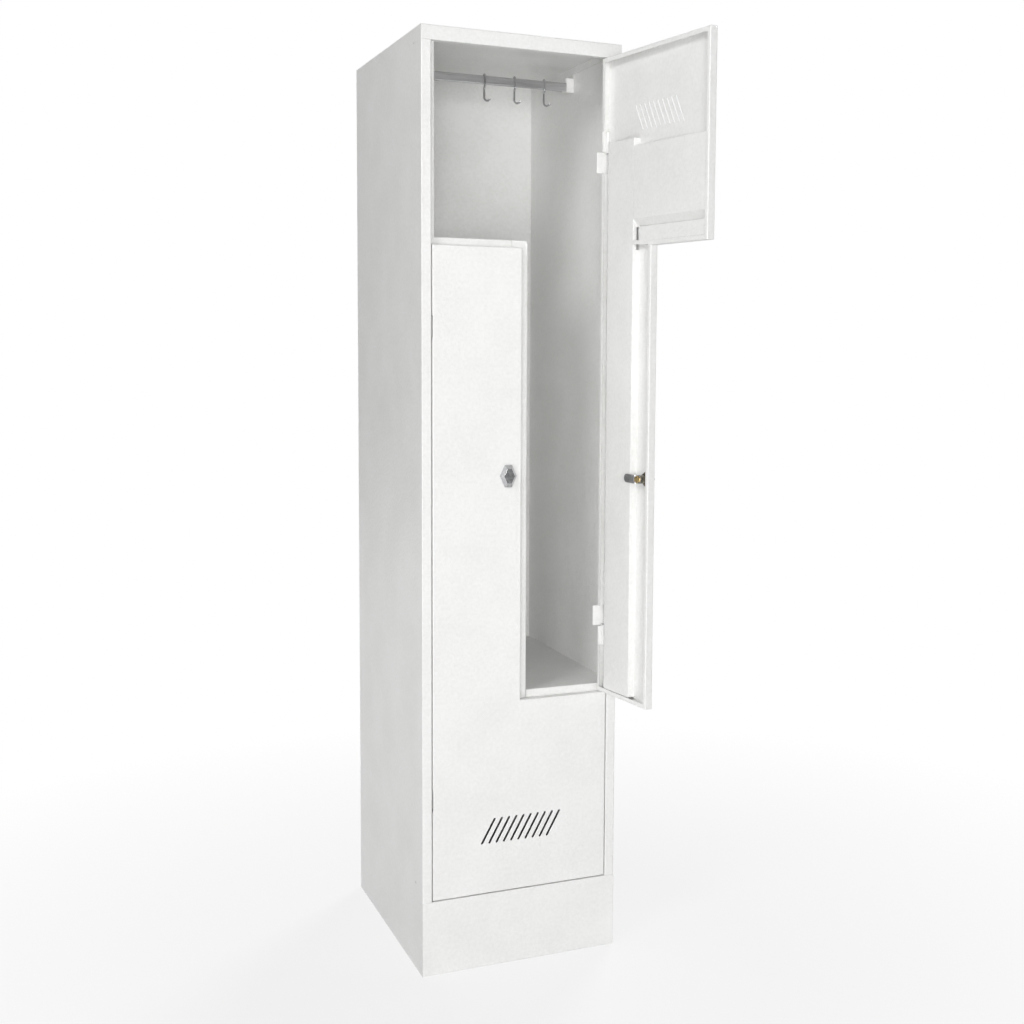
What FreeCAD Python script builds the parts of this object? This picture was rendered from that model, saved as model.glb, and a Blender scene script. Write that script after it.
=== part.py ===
import FreeCAD, Part
import math
import os

# Steel clothes locker for two users, with two doors that interlock like a Z.
# X runs to the right, Y from the front to the back and Z up, in millimetres.
# The origin is on the floor, at the middle of the front face.
# The lower door is shut and the upper door stands open.

Vector = FreeCAD.Vector
x_axis = Vector(1, 0, 0)
y_axis = Vector(0, 1, 0)
z_axis = Vector(0, 0, 1)
origin = Vector(0, 0, 0)
half_turn = 180.0
overrun = 5.0                       # how far a cutting tool stands out of what it cuts

# Carcass
width = 400.0
depth = 500.0
height = 1800.0
sheet = 0.8                         # thickness of all body and door sheets
bend_radius = 1.0                   # inside radius of a fold
stile_width = 19.0                  # front face of a side panel
strike_depth = 17.0                 # from the front plane to the strip that a door shuts against
strike_width = 10.0
rear_flange = 15.0
base_flange = 20.0                  # foot strips on the floor
base_flange_setback = 20.0          # from the front and the back to a side's foot strip
top_flange = 27.0                   # front face of the roof
side_flange = 15.0                  # welding strips of the roof, floor and shelves
plinth_height = 146.0
floor_rise = 12.0                   # floor of the lower space above the plinth
floor_flange = 38.0
seat_clearance = 0.4                # from a strike to the inner frame behind it
link_hole_radius = 2.5              # holes that bolt neighbouring lockers together
link_hole_setback = 48.0
link_hole_inset = 26.0              # from the plinth and from the roof

# Z-shaped partition
meeting_line = -1.0                 # X of the gap between the two doors
meeting_gap = 3.0
post_width = 32.0
post_corner_radius = 6.0
shelf_flange = 26.0
shelf_overlap = 13.5                # how far a shelf's top stands above the gap between the doors

# Doors
door_gap = 2.0
door_depth = 15.5
door_lip = 9.0
upper_wide_height = 365.0           # of the upper door's full-width part
lower_wide_height = 379.0
open_angle = 98.0                   # of the upper door

# Vents
vent_count = 10
vent_pitch = 15.0
vent_rise = 46.0                    # height of a slot between the centres of its ends
vent_lean = 25.5                    # sideways shift over that height
vent_width = 4.2
vent_from_end = 124.0               # from the wide end of a door to the middle of its vents

# Stiffeners inside a door
channel_depth = 13.6                # from the inside of the door's face
hinge_channel_setback = 23.0        # from the hinge edge
hinge_channel_width = 92.0
hinge_channel_from_end = 162.0      # from the wide end
cross_channel_from_end = 177.0
cross_channel_slope = 15.2          # height of its sloping lower side
corner_channel_height = 35.0        # beside the door's inner corner
corner_channel_reach = 44.0         # past the inner corner, towards the hinges
corner_tongue_height = 8.0          # strip from the corner channel on to the hinge channel
wall_notch_depth = 5.5              # cut-out in the hinge channel's wall, beside the corner channel
wall_notch_below = 7.0              # how far it runs on below the corner channel
fit_clearance = 0.5                 # between sheets that are pushed together

# Hinges
hinge_inset = 4.6                   # from the hinge edge to the pin
hinge_setback = 4.6                 # from the front plane to the pin
hinge_from_wide_end = 177.0
hinge_from_narrow_end = 131.0
pin_radius = 1.5
pin_play = 0.05
pin_seat_play = 0.02
pin_head_radius = 2.6
pin_head_height = 1.5
knuckle_radius = 3.75
knuckle_length = 38.0
hinge_gap = 0.3                     # between an ear and its knuckle
bracket_sheet = 2.0
bracket_height = 40.0
bracket_reach = 25.0                # from the stile into the opening
ear_half_width = 2.3
ear_eye_radius = 3.3
bracket_clearance = 1.0             # of the cut-outs in a door round a bracket and a knuckle

# Locks
lock_height = 968.0
lock_inset = 27.5                   # from the free edge of the door's narrow part
knob_width = 33.5
knob_length = 43.0
knob_end_width = 14.0
knob_base = 2.5                     # straight part of the knob's sides
knob_depth = 9.5
knob_face_share = 0.65              # size of the knob's front face against its base
knob_edge_radius = 0.8
spindle_radius = 4.9
spindle_play = 0.06
housing_radius = 8.0
housing_length = 16.9               # behind the front plane
housing_hole_play = 0.1
bezel_radius = 11.0
bezel_thickness = 1.2
knob_gap = 0.3
lock_nut_flats = 24.0
lock_nut_thickness = 4.0
cam_sheet = 2.5
cam_half_width = 8.0
cam_reach = 45.0                    # from the spindle to the tip
cam_crank_start = 8.5
cam_crank_end = 10.5
cam_crank = 3.4                     # how far the upper lock's tip is set back from its hub
cam_pass_gap = 0.6                  # between the tips where one lock's cam passes behind the other's
cam_gap = 0.3                       # from the housing to the cam
cam_screw_flats = 12.0
cam_screw_head = 5.0
cam_screw_radius = 2.5
cam_screw_length = 9.0
lock_window_height = 78.0           # of the divider's cut-out for the cams
lock_window_depth = 9.0

# Hanging rails and hooks
rail_height = 18.0
rail_thickness = 5.0
rail_setback = 250.0                # from the front plane
upper_rail_drop = 34.0              # from the roof
lower_rail_drop = 34.0              # from the shelf above
rail_end_gap = 1.0
bracket_plate = 1.2                 # sheet of a rail bracket
cradle_play = 0.3
cradle_reach = 26.0                 # from the wall
cheek_reach = 16.0                  # of the cradle's cheeks
cradle_rise = 28.0                  # height of the cheeks
tab_height = 8.0                    # above the cheeks
tab_width = 14.0
wire_radius = 2.0
hook_play = 0.3
hook_back_leg = 10.0
hook_neck_radius = 4.0
hook_shank = 18.0
hook_throat_radius = 7.0
hook_sweep = 160.0                  # angle of the throat
hook_turn = 45.0                    # from the rail towards the front
neck_drop = 0.5                     # from the rail to the start of the neck
hook_from_wall = 65.0               # to the first hook
hook_pitch = 65.0
upper_hooks = 3
lower_hooks = 2

# Values that follow from the sizes above
half_width = width / 2
wall_inside = half_width - sheet
stile_edge = half_width - stile_width
strike_edge = stile_edge - strike_width
strike_back = strike_depth + sheet
inner_front = strike_back + seat_clearance
back_inside = depth - 2 * sheet
shelf_back = back_inside - fit_clearance
outer_bend = bend_radius + sheet
frame_top = height - top_flange
floor_top = plinth_height + floor_rise
door_edge = stile_edge - door_gap
door_top = frame_top - door_gap
door_bottom = plinth_height + door_gap
half_gap = meeting_gap / 2
upper_meeting_height = door_top - upper_wide_height - half_gap
lower_meeting_height = door_bottom + lower_wide_height + half_gap
post_left = meeting_line - post_width / 2
post_right = meeting_line + post_width / 2
post_back = inner_front + 2 * sheet
divider_left = meeting_line - sheet / 2
divider_right = meeting_line + sheet / 2
upper_shelf_top = upper_meeting_height + shelf_overlap
lower_shelf_top = lower_meeting_height + shelf_overlap
bracket_front = strike_depth - bracket_sheet
channel_face = sheet + channel_depth
hinge_channel_wall = -hinge_channel_setback - hinge_channel_width
cam_front = housing_length + cam_gap
cam_back = cam_front + cam_sheet


class Door:
    """Sizes of one door; its own frame has the hinge edge at X 0 and the wide end at Z 0."""

    def __init__(self, name, wide_height, narrow_width, full_height, lock_drop, crank):
        self.name = name
        self.wide_width = 2 * door_edge
        self.wide_height = wide_height
        self.narrow_width = narrow_width
        self.full_height = full_height
        self.lock_x = lock_inset - narrow_width
        self.lock_z = -lock_drop
        self.corner_bottom = outer_bend - wide_height
        self.crank = crank
        self.ears = (
            (-hinge_from_wide_end, 1),
            (hinge_from_narrow_end - full_height, -1),
        )

    def outline(self, inset):
        """Corners of the door's L shape, drawn in by inset."""
        wide = inset - self.wide_width
        narrow = inset - self.narrow_width
        step = inset - self.wide_height
        end = inset - self.full_height
        return [
            (-inset, -inset),
            (wide, -inset),
            (wide, step),
            (narrow, step),
            (narrow, end),
            (-inset, end),
        ]


upper = Door(
    "upper",
    wide_height=upper_wide_height,
    narrow_width=door_edge - meeting_line - half_gap,
    full_height=door_top - lower_meeting_height - half_gap,
    lock_drop=door_top - lock_height,
    crank=cam_crank,
)
lower = Door(
    "lower",
    wide_height=lower_wide_height,
    narrow_width=door_edge + meeting_line - half_gap,
    full_height=upper_meeting_height - half_gap - door_bottom,
    lock_drop=lock_height - door_bottom,
    crank=cam_crank + cam_sheet + cam_pass_gap,
)


def place_shut(shape, door):
    """Moves a shape from a door's own frame to its place with the door shut."""
    placed = shape.copy()
    if door is upper:
        placed.translate(Vector(door_edge, 0, door_top))
    else:
        placed.rotate(origin, y_axis, half_turn)
        placed.translate(Vector(-door_edge, 0, door_bottom))
    return placed


def place_door(shape, door):
    """Moves a shape that rides on a door to where it rests."""
    placed = place_shut(shape, door)
    if door is upper:
        placed.rotate(Vector(door_edge - hinge_inset, hinge_setback, 0), z_axis, open_angle)
    return placed


def block(x0, x1, y0, y1, z0, z1):
    """Box between two values on each axis, in either order."""
    size = (abs(x1 - x0), abs(y1 - y0), abs(z1 - z0))
    return Part.makeBox(*size, Vector(min(x0, x1), min(y0, y1), min(z0, z1)))


def rod(radius, start, end):
    """Round bar between two points."""
    run = end - start
    return Part.makeCylinder(radius, run.Length, start, run)


def prism(points, y0, y1):
    """Solid with an outline of (x, z) points, from y0 to y1."""
    corners = [Vector(x, y0, z) for x, z in points]
    face = Part.Face(Part.makePolygon(corners + corners[:1]))
    return face.extrude(Vector(0, y1 - y0, 0))


def hexagon(flats, x, z, y0, y1):
    """Hexagonal bar along Y, with the given distance across its flats."""
    radius = flats / math.sqrt(3)
    points = []
    for corner in range(6):
        angle = math.radians(60 * corner + 30)
        points.append((x + radius * math.cos(angle), z + radius * math.sin(angle)))
    return prism(points, y0, y1)


def slot(x, z, rise, lean, slot_width, y0, y1):
    """Round-ended slot along Y; rise and lean run between the centres of its ends."""
    length = math.hypot(rise, lean)
    radius = slot_width / 2
    bar = block(-length / 2, length / 2, y0, y1, -radius, radius)
    for end in (-length / 2, length / 2):
        bar = bar.fuse(rod(radius, Vector(end, y0, 0), Vector(end, y1, 0)))
    bar = bar.removeSplitter()
    bar.rotate(origin, y_axis, -math.degrees(math.atan2(rise, lean)))
    bar.translate(Vector(x, 0, z))
    return bar


def rounded_edges(points, radii, place):
    """Lines and arcs along points, with each inner corner rounded by its radius."""
    edges = []
    start = points[0]
    for before, corner, after, radius in zip(points, points[1:], points[2:], radii):
        into = math.atan2(corner[1] - before[1], corner[0] - before[0])
        away = math.atan2(after[1] - corner[1], after[0] - corner[0])
        turn = math.remainder(away - into, 2 * math.pi)
        reach = radius * math.tan(abs(turn) / 2)
        first = (corner[0] - reach * math.cos(into), corner[1] - reach * math.sin(into))
        last = (corner[0] + reach * math.cos(away), corner[1] + reach * math.sin(away))
        side = math.copysign(radius, turn)
        centre = (first[0] - side * math.sin(into), first[1] + side * math.cos(into))
        span = math.hypot(corner[0] - centre[0], corner[1] - centre[1])
        middle = (
            centre[0] + (corner[0] - centre[0]) * radius / span,
            centre[1] + (corner[1] - centre[1]) * radius / span,
        )
        edges.append(Part.LineSegment(place(start), place(first)).toShape())
        edges.append(Part.Arc(place(first), place(middle), place(last)).toShape())
        start = last
    edges.append(Part.LineSegment(place(start), place(points[-1])).toShape())
    return edges


def folded(points, plane, start, end, thickness=sheet):
    """Folded sheet whose outline points run along one face, with the sheet on their left."""
    places = {
        "xy": (lambda p: Vector(p[0], p[1], start), z_axis),
        "yz": (lambda p: Vector(start, p[0], p[1]), x_axis),
    }
    place, direction = places[plane]
    angles = [math.atan2(b[1] - a[1], b[0] - a[0]) for a, b in zip(points, points[1:])]
    normals = [(-math.sin(angle), math.cos(angle)) for angle in angles]
    far = [(points[0][0] + thickness * normals[0][0], points[0][1] + thickness * normals[0][1])]
    near_radii = []
    far_radii = []
    for corner, one, two in zip(points[1:], normals, normals[1:]):
        scale = thickness / (1 + one[0] * two[0] + one[1] * two[1])
        far.append((corner[0] + scale * (one[0] + two[0]), corner[1] + scale * (one[1] + two[1])))
        turns_left = one[0] * two[1] - one[1] * two[0] > 0
        near_radii.append(bend_radius + thickness if turns_left else bend_radius)
        far_radii.append(bend_radius if turns_left else bend_radius + thickness)
    far.append((points[-1][0] + thickness * normals[-1][0], points[-1][1] + thickness * normals[-1][1]))
    far.reverse()
    far_radii.reverse()
    edges = rounded_edges(points, near_radii, place)
    edges.append(Part.LineSegment(place(points[-1]), place(far[0])).toShape())
    edges += rounded_edges(far, far_radii, place)
    edges.append(Part.LineSegment(place(far[-1]), place(points[0])).toShape())
    return Part.Face(Part.Wire(edges)).extrude(direction * (end - start))


def merged(first, *others):
    """One solid out of touching solids, without the seams between flush faces."""
    return first.fuse(list(others)).removeSplitter()


def left_side():
    """Left wall with its stile, strike, rear flange and foot strip."""
    front_fold = [
        (rear_flange - half_width, depth),
        (-half_width, depth),
        (-half_width, 0),
        (-stile_edge, 0),
        (-stile_edge, strike_depth),
        (-strike_edge, strike_depth),
    ]
    plain_fold = [front_fold[0], front_fold[1], (-half_width, sheet)]
    wall = folded(front_fold, "xy", plinth_height, frame_top)
    ends = [folded(plain_fold, "xy", 0, plinth_height), folded(plain_fold, "xy", frame_top, height)]
    foot = block(
        -half_width, base_flange - half_width, base_flange_setback, depth - base_flange_setback, 0, sheet
    )
    side = merged(wall, *ends, foot)
    for z in (plinth_height + link_hole_inset, height - link_hole_inset):
        start = Vector(-half_width - overrun, link_hole_setback, z)
        end = Vector(-wall_inside + overrun, link_hole_setback, z)
        side = side.cut(rod(link_hole_radius, start, end))
    return side


def back_panel():
    """Plain sheet inside the rear flanges."""
    edge = wall_inside - bend_radius
    return block(-edge, edge, back_inside, depth - sheet, sheet, height)


def wall_end(side, z0, z1):
    """Space at the front end of a side wall, between two heights."""
    outside = side * (half_width + overrun)
    return block(side * wall_inside, outside, sheet, 2 * base_flange, z0 - overrun, z1 + overrun)


def top_panel():
    """Roof with a front face over the full width, a return below it and welding strips."""
    face_fold = [
        (strike_depth, frame_top),
        (0, frame_top),
        (0, height),
        (outer_bend + overrun, height),
    ]
    face_fold.reverse()
    face = folded(face_fold, "yz", -half_width, half_width)
    for side in (-1, 1):
        face = face.cut(wall_end(side, frame_top, height))
    roof = block(-wall_inside, wall_inside, outer_bend, shelf_back, height - sheet, height)
    strips = []
    for x in (-wall_inside, wall_inside - sheet):
        strips.append(
            block(x, x + sheet, base_flange_setback, shelf_back, height - side_flange, height)
        )
    return merged(face, roof, *strips)


def tray(left, right, front, top, flange):
    """Shelf or floor with a front flange and with welding strips at its ends and back."""
    fold = [
        (shelf_back, top - side_flange),
        (shelf_back, top),
        (front, top),
        (front, top - flange),
    ]
    return folded(fold, "yz", left, right)


def end_strip(wall_x, inward, top):
    """Welding strip of a shelf or floor along a wall at wall_x."""
    return block(
        wall_x,
        wall_x + inward * sheet,
        inner_front + outer_bend,
        shelf_back - outer_bend,
        top - side_flange,
        top,
    )


def floor_panel():
    """Floor of the lower space."""
    sheet_part = tray(-wall_inside, wall_inside, inner_front, floor_top, floor_flange)
    return merged(sheet_part, end_strip(-wall_inside, 1, floor_top), end_strip(wall_inside, -1, floor_top))


def plinth_front():
    """Front face of the plinth, with a return to the floor panel and a foot strip."""
    fold = [
        (base_flange, 0),
        (0, 0),
        (0, plinth_height),
        (inner_front, plinth_height),
    ]
    fold.reverse()
    plinth = folded(fold, "yz", -half_width, half_width)
    for side in (-1, 1):
        plinth = plinth.cut(wall_end(side, 0, plinth_height))
    return plinth


def divider_panel():
    """Upright sheet between the two tall spaces, with a window that the cams turn through."""
    panel = block(
        divider_left, divider_right, post_back, back_inside, lower_shelf_top, upper_shelf_top - sheet
    )
    window = block(
        divider_left - overrun,
        divider_right + overrun,
        post_back - overrun,
        post_back + lock_window_depth,
        lock_height - lock_window_height / 2,
        lock_height + lock_window_height / 2,
    )
    return panel.cut(window)


def divider_post():
    """Strip in front of the divider that both locks catch behind, with doubled sheet."""
    post = block(
        post_left, post_right, inner_front, post_back, lower_shelf_top - shelf_flange, upper_shelf_top
    )
    corners = []
    for edge in post.Edges:
        middle = edge.CenterOfMass
        at_right = abs(middle.x - post_right) < sheet / 2
        at_top = abs(middle.z - upper_shelf_top) < sheet / 2
        if at_right and at_top:
            corners.append(edge)
    post = post.makeFillet(post_corner_radius, corners)
    rims = []
    for edge in post.Edges:
        middle = edge.CenterOfMass
        at_side = min(abs(middle.x - post_left), abs(middle.x - post_right)) < sheet / 2
        at_front = abs(middle.y - inner_front) < sheet / 4
        if at_side and at_front and edge.Length > post_width:
            rims.append(edge)
    return post.makeFillet(sheet, rims)


def upper_shelf():
    """Shelf over the left tall space, notched round the post."""
    shelf = tray(-wall_inside, divider_right, inner_front, upper_shelf_top, shelf_flange)
    notch = block(
        post_left - fit_clearance,
        divider_right + overrun,
        inner_front - overrun,
        post_back + fit_clearance,
        upper_shelf_top - shelf_flange - overrun,
        upper_shelf_top + overrun,
    )
    rear_notch = block(
        divider_left - fit_clearance,
        divider_right + overrun,
        post_back,
        back_inside + overrun,
        upper_shelf_top - side_flange - overrun,
        upper_shelf_top - sheet,
    )
    return merged(shelf.cut(notch).cut(rear_notch), end_strip(-wall_inside, 1, upper_shelf_top))


def lower_shelf():
    """Shelf under the right tall space, notched round the post."""
    shelf = tray(divider_left, wall_inside, inner_front, lower_shelf_top, shelf_flange)
    notch = block(
        divider_left - overrun,
        post_right + fit_clearance,
        inner_front - overrun,
        post_back + fit_clearance,
        lower_shelf_top - shelf_flange - overrun,
        lower_shelf_top + overrun,
    )
    return merged(shelf.cut(notch), end_strip(wall_inside, -1, lower_shelf_top))


def rounded_pan(points, y0, y1, radius):
    """Prism whose front and rear rims are rounded."""
    solid = prism(points, y0, y1)
    rims = []
    for edge in solid.Edges:
        first, last = (vertex.Point.y for vertex in edge.Vertexes)
        if abs(first - last) < radius / 2:
            rims.append(edge)
    return solid.makeFillet(radius, rims)


def door_skin(door):
    """Folded door sheet with lips round its edges, vents, a lock hole and hinge cut-outs."""
    skin = rounded_pan(door.outline(0), 0, door_depth, outer_bend)
    hollow = rounded_pan(door.outline(sheet), sheet, door_depth - sheet, bend_radius)
    mouth = prism(door.outline(door_lip), door_depth / 2, door_depth + overrun)
    cuts = [hollow, mouth]
    for row in range(vent_count):
        offset = (row - (vent_count - 1) / 2) * vent_pitch
        cuts.append(
            slot(
                offset - door.wide_width / 2,
                -vent_from_end,
                vent_rise,
                vent_lean,
                vent_width,
                -overrun,
                sheet + overrun / 2,
            )
        )
    cuts.append(
        rod(
            housing_radius + housing_hole_play,
            Vector(door.lock_x, -overrun, door.lock_z),
            Vector(door.lock_x, sheet + overrun / 2, door.lock_z),
        )
    )
    for ear_z, direction in door.ears:
        knuckle_end = ear_z + direction * (hinge_gap + knuckle_length + bracket_clearance)
        bracket_end = ear_z - direction * (bracket_height + bracket_clearance)
        knuckle_start = ear_z + direction * hinge_gap
        cuts.append(
            block(
                -door_lip - overrun,
                -outer_bend,
                door_depth / 2,
                door_depth + overrun,
                knuckle_start,
                knuckle_end,
            )
        )
        cuts.append(
            block(-door_lip - overrun, overrun, sheet, door_depth + overrun, bracket_end, knuckle_start)
        )
    return skin.cut(cuts)


def hinge_channel(door):
    """Deep stiffener along the hinge side, with a notch in its wall beside the corner channel."""
    right = -hinge_channel_setback
    profile = [
        (right, sheet),
        (right, channel_face),
        (hinge_channel_wall, channel_face),
        (hinge_channel_wall, sheet),
    ]
    channel = folded(profile, "xy", door_lip + fit_clearance - door.full_height, -hinge_channel_from_end)
    notch = block(
        hinge_channel_wall - overrun,
        hinge_channel_wall + overrun,
        0,
        sheet + wall_notch_depth,
        door.corner_bottom - wall_notch_below,
        door.corner_bottom + corner_channel_height,
    )
    return channel.cut(notch)


def cross_channel(door):
    """Wide stiffener from the hinge channel to the free edge, with a sloping lower side."""
    top = -cross_channel_from_end
    foot = door.corner_bottom + corner_channel_height + fit_clearance
    left = outer_bend - door.wide_width
    profile = [
        (sheet, foot),
        (channel_face, foot + cross_channel_slope),
        (channel_face, top),
        (sheet, top),
    ]
    channel = folded(profile, "yz", left, hinge_channel_wall)
    return channel.cut(block(left, hinge_channel_wall, -overrun, sheet, foot - overrun, top))


def corner_channel(door):
    """Stiffener over the door's inner corner, with a tongue that reaches the hinge channel."""
    bottom = door.corner_bottom
    top = bottom + corner_channel_height
    end = corner_channel_reach - door.narrow_width
    profile = [(sheet, bottom), (channel_face, bottom), (channel_face, top), (sheet, top)]
    channel = folded(profile, "yz", outer_bend - door.wide_width, end)
    tongue_bottom = bottom + outer_bend
    tongue = block(
        end - overrun,
        hinge_channel_wall,
        channel_face - sheet,
        channel_face,
        tongue_bottom,
        tongue_bottom + corner_tongue_height,
    )
    return merged(channel, tongue)


def hinge_bracket(ear_z, direction):
    """Frame half of a hinge: a plate on the strike and an ear that holds the pin."""
    plate = block(
        door_gap - bend_radius,
        door_gap - bracket_reach,
        bracket_front,
        bracket_front + bracket_sheet,
        ear_z,
        ear_z - direction * bracket_height,
    )
    ear_far = ear_z - direction * bracket_sheet
    arm = block(
        -hinge_inset - ear_half_width,
        -hinge_inset + ear_half_width,
        hinge_setback,
        bracket_front,
        ear_z,
        ear_far,
    )
    pin_foot = Vector(-hinge_inset, hinge_setback, ear_z)
    pin_far = Vector(-hinge_inset, hinge_setback, ear_far)
    bracket = merged(plate, arm, rod(ear_eye_radius, pin_far, pin_foot))
    beyond = Vector(0, 0, direction * overrun)
    return bracket.cut(rod(pin_radius + pin_seat_play, pin_far - beyond, pin_foot + beyond))


def hinge_pin(ear_z, direction):
    """Headed pin from the ear into the knuckle."""
    up = Vector(0, 0, direction)
    head = Vector(-hinge_inset, hinge_setback, ear_z - direction * bracket_sheet)
    tip = Vector(-hinge_inset, hinge_setback, ear_z + direction * (hinge_gap + knuckle_length))
    return merged(rod(pin_radius, head, tip), rod(pin_head_radius, head - up * pin_head_height, head))


def hinge_knuckle(ear_z, direction):
    """Door half of a hinge: a tube in the folded corner."""
    start = Vector(-hinge_inset, hinge_setback, ear_z + direction * hinge_gap)
    end = start + Vector(0, 0, direction * knuckle_length)
    beyond = Vector(0, 0, direction * overrun)
    return rod(knuckle_radius, start, end).cut(rod(pin_radius + pin_play, start - beyond, end + beyond))


def lock_housing(door):
    """Round barrel through the door with a bezel on its face."""
    start = Vector(door.lock_x, -bezel_thickness, door.lock_z)
    face = Vector(door.lock_x, 0, door.lock_z)
    end = Vector(door.lock_x, housing_length, door.lock_z)
    beyond = Vector(0, overrun, 0)
    body = merged(rod(housing_radius, start, end), rod(bezel_radius, start, face))
    return body.cut(rod(spindle_radius + spindle_play, start - beyond, end + beyond))


def lock_nut(door):
    """Hexagonal nut that clamps the housing to the door."""
    nut = hexagon(lock_nut_flats, door.lock_x, door.lock_z, sheet, sheet + lock_nut_thickness)
    start = Vector(door.lock_x, 0, door.lock_z)
    end = Vector(door.lock_x, housing_length, door.lock_z)
    return nut.cut(rod(housing_radius + pin_seat_play, start, end))


def knob_outline(door, y, share):
    """Wire of the knob's long hexagon at y, scaled by share."""
    half_end = knob_end_width / 2
    half_side = knob_width / 2
    half_length = knob_length / 2
    shape = (
        (half_end, half_length),
        (-half_end, half_length),
        (-half_side, 0),
        (-half_end, -half_length),
        (half_end, -half_length),
        (half_side, 0),
    )
    corners = [Vector(door.lock_x + share * x, y, door.lock_z + share * z) for x, z in shape]
    return Part.makePolygon(corners + corners[:1])


def lock_knob(door):
    """Faceted turning knob on its spindle."""
    base = -bezel_thickness - knob_gap
    shoulder = base - knob_base
    front = base - knob_depth
    foot = Part.Face(knob_outline(door, base, 1)).extrude(Vector(0, -knob_base, 0))
    crown = Part.makeLoft(
        [knob_outline(door, shoulder, 1), knob_outline(door, front, knob_face_share)], True, True
    )
    grip = merged(foot, crown)
    ridges = []
    for edge in grip.Edges:
        if edge.CenterOfMass.y < shoulder - knob_edge_radius:
            ridges.append(edge)
    grip = grip.makeFillet(knob_edge_radius, ridges)
    start = Vector(door.lock_x, base, door.lock_z)
    end = Vector(door.lock_x, cam_back, door.lock_z)
    knob = merged(grip, rod(spindle_radius, start, end))
    tapped = Vector(0, cam_screw_length + fit_clearance, 0)
    beyond = Vector(0, overrun, 0)
    return knob.cut(rod(cam_screw_radius + pin_seat_play, end - tapped, end + beyond))


def lock_cam(door):
    """Cranked tongue on the spindle; it points to the hinges while the lock is open."""
    tip = cam_front + door.crank
    path = [
        (cam_reach, tip),
        (cam_crank_end, tip),
        (cam_crank_start, cam_front),
        (-cam_half_width, cam_front),
    ]
    path.reverse()
    bar = folded(path, "xy", -cam_half_width, cam_half_width, cam_sheet)
    span = cam_reach - cam_half_width
    shape = slot(span / 2, 0, 0, span, 2 * cam_half_width, 0, tip + cam_sheet + overrun)
    cam = bar.common(shape)
    bore = rod(spindle_radius + pin_seat_play, origin, Vector(0, cam_back + overrun, 0))
    cam = cam.cut(bore)
    cam.translate(Vector(door.lock_x, 0, door.lock_z))
    return cam


def lock_cam_screw(door):
    """Hexagon screw that holds the cam."""
    head = hexagon(cam_screw_flats, door.lock_x, door.lock_z, cam_back, cam_back + cam_screw_head)
    seat = Vector(door.lock_x, cam_back, door.lock_z)
    return merged(head, rod(cam_screw_radius, seat - Vector(0, cam_screw_length, 0), seat))


def rail(left, right, top):
    """Flat rail with round edges, between two X values."""
    radius = rail_thickness / 2
    bar = block(
        left, right, rail_setback - radius, rail_setback + radius, top - rail_height + radius, top - radius
    )
    for z in (top - rail_height + radius, top - radius):
        bar = bar.fuse(rod(radius, Vector(left, rail_setback, z), Vector(right, rail_setback, z)))
    return bar.removeSplitter()


def rail_bracket(wall_x, inward, top):
    """Stamped cradle for a rail's end, on the wall at wall_x; inward is the way off the wall."""
    half = rail_thickness / 2 + cradle_play
    bottom = top - rail_height
    cheek_top = bottom + cradle_rise
    reach = wall_x + inward * cradle_reach
    cheek_end = wall_x + inward * cheek_reach
    plate = wall_x + inward * bracket_plate
    outer = half + bracket_plate
    back = block(
        wall_x, plate, rail_setback - outer, rail_setback + outer, bottom - bracket_plate, cheek_top
    )
    strap = block(
        wall_x, reach, rail_setback - outer, rail_setback + outer, bottom - bracket_plate, bottom
    )
    tab = block(
        wall_x,
        plate,
        rail_setback - tab_width / 2,
        rail_setback + tab_width / 2,
        cheek_top,
        cheek_top + tab_height,
    )
    cheeks = []
    for side in (-1, 1):
        cheeks.append(
            block(
                wall_x,
                cheek_end,
                rail_setback + side * half,
                rail_setback + side * outer,
                bottom - bracket_plate,
                cheek_top,
            )
        )
    return merged(back, strap, tab, *cheeks)


def hook(x, top):
    """Wire hook looped over a rail at x, with its throat turned towards the front."""
    leg = rail_thickness / 2 + hook_play + wire_radius
    loop_z = top - rail_thickness / 2
    neck_z = top - rail_height - neck_drop
    bend = math.acos(1 - leg / (2 * hook_neck_radius))
    neck_end = neck_z - 2 * hook_neck_radius * math.sin(bend)
    throat = neck_end - hook_shank

    def at(y, z):
        return Vector(x, rail_setback + y, z)

    half_bend = bend / 2
    first_centre = at(hook_neck_radius - leg, neck_z)
    last_centre = at(-hook_neck_radius, neck_end)
    middle = at(-leg / 2, (neck_z + neck_end) / 2)
    first_arc = first_centre + Vector(
        0, -hook_neck_radius * math.cos(half_bend), -hook_neck_radius * math.sin(half_bend)
    )
    last_arc = last_centre + Vector(
        0, hook_neck_radius * math.cos(half_bend), hook_neck_radius * math.sin(half_bend)
    )
    turn = math.radians(hook_turn)
    away = Vector(math.cos(turn), -math.sin(turn), 0)
    centre = at(0, throat) + away * hook_throat_radius

    def on_throat(share):
        angle = math.radians(hook_sweep * share)
        return centre - (away * math.cos(angle) + z_axis * math.sin(angle)) * hook_throat_radius

    tail = at(leg, loop_z - hook_back_leg)
    edges = [
        Part.LineSegment(tail, at(leg, loop_z)).toShape(),
        Part.Arc(at(leg, loop_z), at(0, loop_z + leg), at(-leg, loop_z)).toShape(),
        Part.LineSegment(at(-leg, loop_z), at(-leg, neck_z)).toShape(),
        Part.Arc(at(-leg, neck_z), first_arc, middle).toShape(),
        Part.Arc(middle, last_arc, at(0, neck_end)).toShape(),
        Part.LineSegment(at(0, neck_end), at(0, throat)).toShape(),
        Part.Arc(on_throat(0), on_throat(0.5), on_throat(1)).toShape(),
    ]
    section = Part.Wire(Part.makeCircle(wire_radius, tail, z_axis))
    return Part.Wire(edges).makePipeShell([section], True, False)


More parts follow.
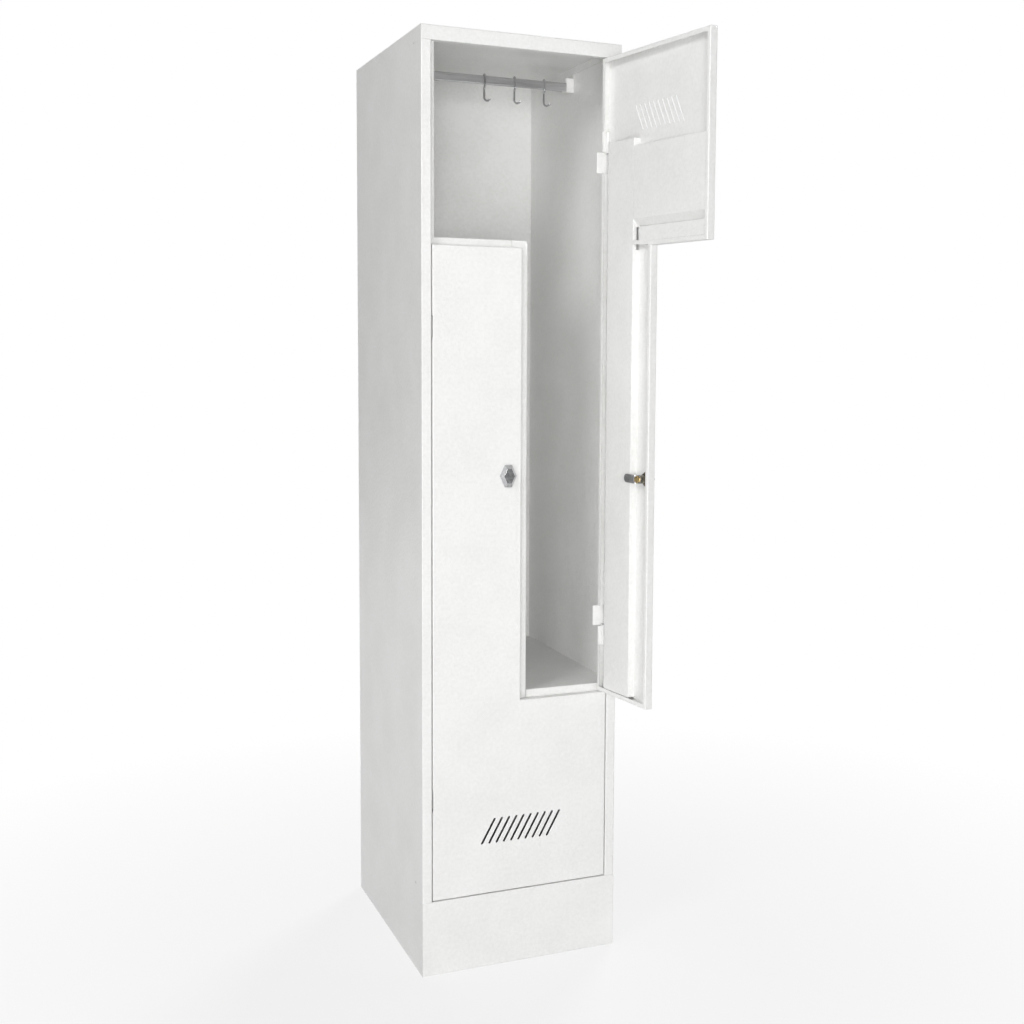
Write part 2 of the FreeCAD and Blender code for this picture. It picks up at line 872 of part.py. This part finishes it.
def build():
    """All pieces by node name, each where it rests."""
    nodes = {
        "left_side": left_side(),
        "right_side": left_side().mirror(origin, x_axis),
        "back_panel": back_panel(),
        "top_panel": top_panel(),
        "floor_panel": floor_panel(),
        "plinth_front": plinth_front(),
        "divider_panel": divider_panel(),
        "divider_post": divider_post(),
        "upper_shelf": upper_shelf(),
        "lower_shelf": lower_shelf(),
    }
    for door in (upper, lower):
        rides = {
            "door_skin": door_skin(door),
            "door_hinge_channel": hinge_channel(door),
            "door_cross_channel": cross_channel(door),
            "door_corner_channel": corner_channel(door),
            "lock_housing": lock_housing(door),
            "lock_nut": lock_nut(door),
            "lock_knob": lock_knob(door),
            "lock_cam": lock_cam(door),
            "lock_cam_screw": lock_cam_screw(door),
        }
        for place, (ear_z, direction) in zip(("wide_end", "narrow_end"), door.ears):
            rides[f"{place}_hinge_knuckle"] = hinge_knuckle(ear_z, direction)
            fixed = {"bracket": hinge_bracket(ear_z, direction), "pin": hinge_pin(ear_z, direction)}
            for name, shape in fixed.items():
                nodes[f"{door.name}_{place}_hinge_{name}"] = place_shut(shape, door)
        for name, shape in rides.items():
            nodes[f"{door.name}_{name}"] = place_door(shape, door)
    upper_rail_top = height - upper_rail_drop
    lower_rail_top = upper_shelf_top - lower_rail_drop
    rails = (
        ("upper", -wall_inside, wall_inside, upper_rail_top),
        ("lower", -wall_inside, divider_left, lower_rail_top),
    )
    for name, left, right, top in rails:
        seat = bracket_plate + rail_end_gap
        nodes[f"{name}_rail"] = rail(left + seat, right - seat, top)
        nodes[f"{name}_rail_left_bracket"] = rail_bracket(left, 1, top)
        nodes[f"{name}_rail_right_bracket"] = rail_bracket(right, -1, top)
    for number in range(upper_hooks):
        x = wall_inside - hook_from_wall - number * hook_pitch
        nodes[f"upper_hook_{number + 1}"] = hook(x, upper_rail_top)
    for number in range(lower_hooks):
        x = hook_from_wall + number * hook_pitch - wall_inside
        nodes[f"lower_hook_{number + 1}"] = hook(x, lower_rail_top)
    return nodes


os.makedirs("parts", exist_ok=True)
for node, shape in build().items():
    shape.exportStep(f"parts/{node}.step")
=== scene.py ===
import math

import bpy
from bpy.props import FloatProperty, FloatVectorProperty, PointerProperty
from bpy.types import Operator, Panel, PropertyGroup
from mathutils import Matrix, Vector

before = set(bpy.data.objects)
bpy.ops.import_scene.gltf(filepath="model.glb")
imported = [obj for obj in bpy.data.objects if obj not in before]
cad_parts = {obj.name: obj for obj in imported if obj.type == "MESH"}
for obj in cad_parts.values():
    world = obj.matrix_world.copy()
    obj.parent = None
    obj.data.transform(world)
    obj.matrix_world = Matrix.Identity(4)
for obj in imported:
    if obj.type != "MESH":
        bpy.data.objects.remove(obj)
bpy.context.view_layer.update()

bl_info = {
    "name": "Steel Clothes Locker",
    "version": (1, 0, 0),
    "blender": (4, 5, 0),
    "location": "View3D > Sidebar > Locker",
    "description": "Finishes a powder-coated steel locker with two interlocking doors",
    "category": "3D View",
}

MILLIMETRE = 0.001

# Which pieces share a finish, by the ends of their names.
COATED_ENDS = (
    "_side", "_panel", "_shelf", "_post", "plinth_front", "door_skin", "_channel", "hinge_bracket",
    "hinge_knuckle", "rail_left_bracket", "rail_right_bracket",
)
NICKEL_ENDS = ("lock_housing", "lock_nut")
ZINC_ENDS = ("lock_cam", "hinge_pin")
BRASS_ENDS = ("lock_cam_screw",)

# Widths of the marks in each finish. A noise scale is one over such a width.
FILM_DRIFT = 120 * MILLIMETRE
DRAWN_LINE = 1.2 * MILLIMETRE
CHROME_HAZE = 6 * MILLIMETRE
NICKEL_CLOUD = 5 * MILLIMETRE
ZINC_SPANGLE = 2.5 * MILLIMETRE
TURNING_MARK = 1 * MILLIMETRE

# Nearly all values of a noise lie in this span.
NOISE_SPAN = (0.3, 0.7)
ROUGHNESS_SPREAD = 0.06

WHITE = (1.0, 1.0, 1.0, 1.0)
SENSOR_WIDTH = 36.0
CAMERA_SHIFT = (-0.116, -0.04)


def linear(hex_colour):
    """Linear red, green, blue and alpha of an sRGB hex colour."""
    channels = [int(hex_colour[place:place + 2], 16) / 255 for place in (1, 3, 5)]
    return tuple(c / 12.92 if c <= 0.04045 else ((c + 0.055) / 1.055) ** 2.4 for c in channels) + (1.0,)


def add(material, kind, links=None, **settings):
    """A node with its settings; links maps its inputs to output sockets, ramp lists a ramp's stops."""
    node = material.node_tree.nodes.new(kind)
    for name, value in settings.items():
        if name == "ramp":
            for stop, (place, colour) in zip(node.color_ramp.elements, value):
                stop.position = place
                stop.color = colour
        elif name in node.inputs:
            node.inputs[name].default_value = value
        else:
            setattr(node, name, value)
    for name, socket in (links or {}).items():
        material.node_tree.links.new(socket, node.inputs[name])
    return node


def new_material(name):
    """Empty material with its shader linked to the output."""
    material = bpy.data.materials.new(name)
    material.use_nodes = True
    material.node_tree.nodes.clear()
    shader = add(material, "ShaderNodeBsdfPrincipled")
    add(material, "ShaderNodeOutputMaterial", {"Surface": shader.outputs["BSDF"]})
    return material, shader


def finish_metal(material, shader, marks, tones, roughness, span=NOISE_SPAN):
    """Makes the shader a metal whose tone and roughness follow its marks, an output socket."""
    tone = add(
        material, "ShaderNodeValToRGB", {"Fac": marks},
        ramp=[(place, linear(hex_colour)) for place, hex_colour in tones],
    )
    gloss = add(
        material, "ShaderNodeMapRange", {"Value": marks},
        **{"From Min": span[0], "From Max": span[1], "To Min": roughness[0], "To Max": roughness[1]},
    )
    material.node_tree.links.new(tone.outputs["Color"], shader.inputs["Base Color"])
    material.node_tree.links.new(gloss.outputs["Result"], shader.inputs["Roughness"])
    shader.inputs["Metallic"].default_value = 1.0


def nodes_ending(*ends):
    """CAD objects whose names end in one of the given words."""
    return [piece for name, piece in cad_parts.items() if name.endswith(ends)]


def coat(pieces, material):
    """Gives each CAD object the material as its only one."""
    if not pieces:
        raise RuntimeError(f"No piece takes the material {material.name}")
    for piece in pieces:
        piece.data.materials.clear()
        piece.data.materials.append(material)


class LockerFinish(PropertyGroup):
    """Colours and surface sizes of the locker."""

    coat_colour: FloatVectorProperty(
        name="Coat colour", description="Colour of the powder coat", default=linear("#F6F6F5"),
        subtype="COLOR", size=4, min=0.0, max=1.0,
    )
    thin_colour: FloatVectorProperty(
        name="Thin coat colour", description="Colour where the coat is thin", default=linear("#EFEFED"),
        subtype="COLOR", size=4, min=0.0, max=1.0,
    )
    peel_size: FloatProperty(
        name="Orange peel size", description="Width of the coat's ripples", default=6.5 * MILLIMETRE,
        min=0.5 * MILLIMETRE, unit="LENGTH",
    )
    coat_roughness: FloatProperty(
        name="Coat roughness", description="Roughness of the powder coat", default=0.42, min=0.06, max=0.94,
        subtype="FACTOR",
    )
    fold_radius: FloatProperty(
        name="Fold radius", description="Radius of the sheets' folds", default=1.2 * MILLIMETRE, min=0.0,
        unit="LENGTH",
    )


class LockerStage(PropertyGroup):
    """Floor, lights and camera."""

    floor_size: FloatProperty(
        name="Floor size", description="Side of the floor", default=14.0, min=4.0, unit="LENGTH"
    )
    key_power: FloatProperty(
        name="Key power", description="Power of the softbox at the left", default=93.0, min=0.0,
        unit="POWER",
    )
    fill_power: FloatProperty(
        name="Fill power", description="Power of the light behind the camera", default=164.0, min=0.0,
        unit="POWER",
    )
    flash_power: FloatProperty(
        name="Flash power", description="Power of the light beside the camera", default=29.5, min=0.0,
        unit="POWER",
    )
    back_power: FloatProperty(
        name="Back power", description="Power of the light behind the locker", default=165.0, min=0.0,
        unit="POWER",
    )
    sky_strength: FloatProperty(
        name="Sky strength", description="Strength of the even light", default=0.22, min=0.0
    )
    camera_place: FloatVectorProperty(
        name="Camera place", description="Where the camera stands", default=(-0.9276, -2.5470, 1.2191),
        subtype="TRANSLATION", unit="LENGTH",
    )
    camera_turn: FloatVectorProperty(
        name="Camera turn", description="How the camera is turned",
        default=tuple(math.radians(angle) for angle in (84.9256, -0.6496, -24.3690)), subtype="EULER",
        unit="ROTATION",
    )
    lens: FloatProperty(name="Lens", description="Focal length in millimetres", default=49.45, min=10.0)


class LOCKER_OT_sheets(Operator):
    """Powder coat the carcass, the shelves and the doors"""

    bl_idname = "locker.sheets"
    bl_label = "Sheets"

    def execute(self, context):
        finish = context.scene.locker_finish
        # Polyester powder coat on steel, sprayed and baked: a satin white skin with a fine orange peel.
        material, shader = new_material("powder_coated_steel")
        place = add(material, "ShaderNodeTexCoord")
        # The real ripples are 1 to 2 mm wide; they are drawn coarser so that they show at this distance.
        peel = add(
            material, "ShaderNodeTexNoise", {"Vector": place.outputs["Object"]},
            Scale=1 / finish.peel_size, Detail=2.0, Roughness=0.5,
        )
        # Film thickness drifts over a hand's width; with the ripples it shifts the tone a little.
        drift = add(
            material, "ShaderNodeTexNoise", {"Vector": place.outputs["Object"]},
            Scale=1 / FILM_DRIFT, Detail=3.0, Roughness=0.55,
        )
        film = add(
            material, "ShaderNodeMix", {"A": drift.outputs["Fac"], "B": peel.outputs["Fac"]}, Factor=0.5
        )
        # Folds are rounded, and there the coat is thinner and rubbed smooth by hands.
        fold = add(material, "ShaderNodeBevel", samples=4, Radius=finish.fold_radius)
        face = add(material, "ShaderNodeNewGeometry")
        turn = add(
            material, "ShaderNodeVectorMath", {0: fold.outputs["Normal"], 1: face.outputs["True Normal"]},
            operation="DOT_PRODUCT",
        )
        worn = add(
            material, "ShaderNodeMapRange", {"Value": turn.outputs["Value"]},
            **{"From Min": 0.7, "From Max": 0.98, "To Min": 0.2, "To Max": 0.0},
        )
        thinned = add(
            material, "ShaderNodeMath", {0: film.outputs["Result"], 1: worn.outputs["Result"]},
            operation="SUBTRACT",
        )
        tone = add(
            material, "ShaderNodeValToRGB", {"Fac": thinned.outputs["Value"]},
            ramp=((0.36, finish.thin_colour), (0.6, finish.coat_colour)),
        )
        ripple = add(
            material, "ShaderNodeMapRange", {"Value": peel.outputs["Fac"]},
            **{
                "From Min": NOISE_SPAN[0], "From Max": NOISE_SPAN[1],
                "To Min": finish.coat_roughness - ROUGHNESS_SPREAD,
                "To Max": finish.coat_roughness + ROUGHNESS_SPREAD,
            },
        )
        gloss = add(
            material, "ShaderNodeMath", {0: ripple.outputs["Result"], 1: worn.outputs["Result"]},
            operation="SUBTRACT",
        )
        bump = add(
            material, "ShaderNodeBump", {"Height": peel.outputs["Fac"], "Normal": fold.outputs["Normal"]},
            Strength=0.7, Distance=1 * MILLIMETRE,
        )
        links = material.node_tree.links
        links.new(tone.outputs["Color"], shader.inputs["Base Color"])
        links.new(gloss.outputs["Value"], shader.inputs["Roughness"])
        links.new(bump.outputs["Normal"], shader.inputs["Normal"])
        shader.inputs["IOR"].default_value = 1.5
        coat(nodes_ending(*COATED_ENDS), material)
        return {"FINISHED"}


class LOCKER_OT_rails(Operator):
    """Give the hanging rails their steel finish"""

    bl_idname = "locker.rails"
    bl_label = "Rails"

    def execute(self, context):
        # Drawn steel strip, zinc plated: a grey satin metal with fine lines along its length.
        material, shader = new_material("zinc_plated_drawn_steel")
        place = add(material, "ShaderNodeTexCoord")
        along = add(
            material, "ShaderNodeMapping", {"Vector": place.outputs["Object"]}, Scale=(0.02, 1.0, 1.0)
        )
        lines = add(
            material, "ShaderNodeTexNoise", {"Vector": along.outputs["Vector"]},
            Scale=1 / DRAWN_LINE, Detail=3.0,
        )
        tones = ((0.3, "#BCBCBE"), (0.7, "#D2D2D3"))
        finish_metal(material, shader, lines.outputs["Fac"], tones, roughness=(0.26, 0.42))
        coat(nodes_ending("_rail"), material)
        return {"FINISHED"}


class LOCKER_OT_hooks(Operator):
    """Chrome the hooks and the knobs"""

    bl_idname = "locker.hooks"
    bl_label = "Hooks and knobs"

    def execute(self, context):
        # Chrome plate on wire and on die-cast zinc: a bright mirror with a faint haze.
        material, shader = new_material("chrome_plate")
        place = add(material, "ShaderNodeTexCoord")
        haze = add(
            material, "ShaderNodeTexNoise", {"Vector": place.outputs["Object"]},
            Scale=1 / CHROME_HAZE, Detail=4.0,
        )
        tones = ((0.3, "#BEBEC0"), (0.7, "#CFCFD1"))
        finish_metal(material, shader, haze.outputs["Fac"], tones, roughness=(0.06, 0.14))
        coat([piece for name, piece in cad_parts.items() if "_hook_" in name], material)
        coat(nodes_ending("lock_knob"), material)
        return {"FINISHED"}


class LOCKER_OT_locks(Operator):
    """Finish the lock bodies, cams, cam screws and hinge pins"""

    bl_idname = "locker.locks"
    bl_label = "Locks and pins"

    def execute(self, context):
        # Die-cast zinc, nickel plated: a warm grey mirror with faint cloudy patches.
        nickel, shader = new_material("nickel_plated_die_cast_zinc")
        place = add(nickel, "ShaderNodeTexCoord")
        cloud = add(
            nickel, "ShaderNodeTexNoise", {"Vector": place.outputs["Object"]},
            Scale=1 / NICKEL_CLOUD, Detail=3.0,
        )
        tones = ((0.3, "#8F8B80"), (0.7, "#A8A498"))
        finish_metal(nickel, shader, cloud.outputs["Fac"], tones, roughness=(0.14, 0.26))
        coat(nodes_ending(*NICKEL_ENDS), nickel)

        # Stamped steel, bright zinc plate: a pale grey metal with a soft spangle.
        zinc, shader = new_material("zinc_plated_stamped_steel")
        place = add(zinc, "ShaderNodeTexCoord")
        spangle = add(
            zinc, "ShaderNodeTexVoronoi", {"Vector": place.outputs["Object"]}, Scale=1 / ZINC_SPANGLE
        )
        tones = ((0.1, "#B6B6B8"), (0.8, "#A2A2A6"))
        finish_metal(
            zinc, shader, spangle.outputs["Distance"], tones, roughness=(0.24, 0.4), span=(0.0, 1.0)
        )
        coat(nodes_ending(*ZINC_ENDS), zinc)

        # Turned brass: a warm yellow metal with fine turning marks.
        brass, shader = new_material("turned_brass")
        place = add(brass, "ShaderNodeTexCoord")
        turning = add(
            brass, "ShaderNodeTexNoise", {"Vector": place.outputs["Object"]},
            Scale=1 / TURNING_MARK, Detail=2.0,
        )
        tones = ((0.3, "#B39A66"), (0.7, "#CDB784"))
        finish_metal(brass, shader, turning.outputs["Fac"], tones, roughness=(0.18, 0.32))
        coat(nodes_ending(*BRASS_ENDS), brass)
        return {"FINISHED"}


class LOCKER_OT_stage(Operator):
    """Set up the floor, the lights and the camera"""

    bl_idname = "locker.stage"
    bl_label = "Stage"

    def execute(self, context):
        stage = context.scene.locker_stage
        bpy.ops.object.select_all(action="DESELECT")
        bpy.ops.mesh.primitive_plane_add(size=stage.floor_size, location=(0, 0, 0))
        floor = context.object
        floor.name = "floor"
        # Matt white studio floor that fades to plain white away from the locker.
        material, shader = new_material("matt_white_floor")
        shader.inputs["Base Color"].default_value = linear("#DEDEDE")
        shader.inputs["Roughness"].default_value = 0.9
        place = add(material, "ShaderNodeTexCoord")
        reach = add(
            material, "ShaderNodeVectorMath", {"Vector": place.outputs["Object"]}, operation="LENGTH"
        )
        fade = add(
            material, "ShaderNodeMapRange", {"Value": reach.outputs["Value"]},
            **{"From Min": 0.5, "From Max": 1.8, "To Min": 0.78, "To Max": 1.0},
        )
        rays = add(material, "ShaderNodeLightPath")
        seen = add(
            material, "ShaderNodeMath",
            {0: rays.outputs["Is Camera Ray"], 1: rays.outputs["Is Glossy Ray"]}, operation="MAXIMUM",
        )
        share = add(
            material, "ShaderNodeMath", {0: seen.outputs["Value"], 1: fade.outputs["Result"]},
            operation="MULTIPLY",
        )
        white = add(material, "ShaderNodeEmission", Strength=1.0)
        mix = add(
            material, "ShaderNodeMixShader",
            {0: share.outputs["Value"], 1: shader.outputs["BSDF"], 2: white.outputs["Emission"]},
        )
        output = next(node for node in material.node_tree.nodes if node.type == "OUTPUT_MATERIAL")
        material.node_tree.links.new(mix.outputs["Shader"], output.inputs["Surface"])
        floor.data.materials.append(material)

        world = bpy.data.worlds.new("studio")
        world.use_nodes = True
        world.node_tree.nodes.clear()
        sky = add(world, "ShaderNodeBackground", Color=WHITE, Strength=stage.sky_strength)
        backdrop = add(world, "ShaderNodeBackground", Color=WHITE, Strength=1.0)
        rays = add(world, "ShaderNodeLightPath")
        seen = add(
            world, "ShaderNodeMath",
            {0: rays.outputs["Is Camera Ray"], 1: rays.outputs["Is Transmission Ray"]}, operation="MAXIMUM",
        )
        # Mirrors see the white backdrop too, and a darker room overhead, behind the camera and at the rear
        # left. The room is slanted, so that its upper left stays bright.
        way = add(world, "ShaderNodeTexCoord")
        slant = add(
            world, "ShaderNodeMapping", {"Vector": way.outputs["Generated"]},
            Rotation=(0.0, math.radians(-30), math.radians(-16)),
        )
        parts = add(world, "ShaderNodeSeparateXYZ", {"Vector": slant.outputs["Vector"]})
        overhead = add(
            world, "ShaderNodeMapRange", {"Value": parts.outputs["Z"]},
            **{"From Min": 0.35, "From Max": 0.8, "To Min": 1.0, "To Max": 0.08},
        )
        behind = add(
            world, "ShaderNodeMapRange", {"Value": parts.outputs["Y"]},
            **{"From Min": -0.95, "From Max": -0.35, "To Min": 0.3, "To Max": 1.0},
        )
        beside = add(
            world, "ShaderNodeMapRange", {"Value": parts.outputs["Y"]},
            **{"From Min": 0.75, "From Max": 0.95, "To Min": 1.0, "To Max": 0.1},
        )
        ends = add(
            world, "ShaderNodeMath", {0: overhead.outputs["Result"], 1: behind.outputs["Result"]},
            operation="MULTIPLY",
        )
        dim = add(
            world, "ShaderNodeMath", {0: ends.outputs["Value"], 1: beside.outputs["Result"]},
            operation="MULTIPLY",
        )
        room = add(world, "ShaderNodeBackground", {"Strength": dim.outputs["Value"]}, Color=WHITE)
        mirrored = add(
            world, "ShaderNodeMixShader",
            {0: rays.outputs["Is Glossy Ray"], 1: sky.outputs["Background"], 2: room.outputs["Background"]},
        )
        mix = add(
            world, "ShaderNodeMixShader",
            {0: seen.outputs["Value"], 1: mirrored.outputs["Shader"], 2: backdrop.outputs["Background"]},
        )
        add(world, "ShaderNodeOutputWorld", {"Surface": mix.outputs["Shader"]})
        context.scene.world = world

        # A softbox high at the left, a large light far behind the camera, a smaller one beside the camera
        # that reaches into the spaces, and one behind the locker for views from there. Each has a power, a
        # width, a place and an aim.
        lights = {
            "key": (stage.key_power, 2.0, (-4.0, -2.6, 3.8), Vector((0, -0.1, 1.2))),
            "fill": (stage.fill_power, 1.8, (-2.0, -7.5, 1.2), Vector((0, 0, 0.8))),
            "flash": (stage.flash_power, 1.0, (-1.6, -3.2, 0.8), Vector((0, 0, 0.8))),
            "back": (stage.back_power, 2.0, (3.3, 4.0, 3.8), Vector((0, 0.3, 0.9))),
        }
        for name, (power, width, place, aim) in lights.items():
            bpy.ops.object.light_add(type="AREA", location=place)
            light = context.object
            light.name = name
            light.data.energy = power
            light.data.shape = "DISK"
            light.data.size = width
            light.rotation_euler = (aim - light.location).to_track_quat("-Z", "Y").to_euler()

        bpy.ops.object.camera_add(location=stage.camera_place, rotation=stage.camera_turn)
        camera = context.object
        camera.name = "camera"
        camera.data.lens = stage.lens
        camera.data.sensor_width = SENSOR_WIDTH
        camera.data.shift_x, camera.data.shift_y = CAMERA_SHIFT
        context.scene.camera = camera
        context.scene.view_settings.view_transform = "Standard"
        return {"FINISHED"}


class LOCKER_PT_panel(Panel):
    """Lists the steps that finish the locker"""

    bl_idname = "LOCKER_PT_panel"
    bl_label = "Locker"
    bl_space_type = "VIEW_3D"
    bl_region_type = "UI"
    bl_category = "Locker"

    def draw(self, context):
        layout = self.layout
        for group in (context.scene.locker_finish, context.scene.locker_stage):
            for name in type(group).__annotations__:
                layout.prop(group, name)
        for step in STEPS:
            layout.operator(step.bl_idname)


STEPS = (LOCKER_OT_sheets, LOCKER_OT_rails, LOCKER_OT_hooks, LOCKER_OT_locks, LOCKER_OT_stage)
CLASSES = (LockerFinish, LockerStage) + STEPS + (LOCKER_PT_panel,)


def register():
    for cls in CLASSES:
        bpy.utils.register_class(cls)
    bpy.types.Scene.locker_finish = PointerProperty(type=LockerFinish)
    bpy.types.Scene.locker_stage = PointerProperty(type=LockerStage)


def unregister():
    del bpy.types.Scene.locker_stage
    del bpy.types.Scene.locker_finish
    for cls in reversed(CLASSES):
        bpy.utils.unregister_class(cls)


def main():
    register()
    bpy.ops.locker.sheets()
    bpy.ops.locker.rails()
    bpy.ops.locker.hooks()
    bpy.ops.locker.locks()
    bpy.ops.locker.stage()


if __name__ == "__main__":
    main()
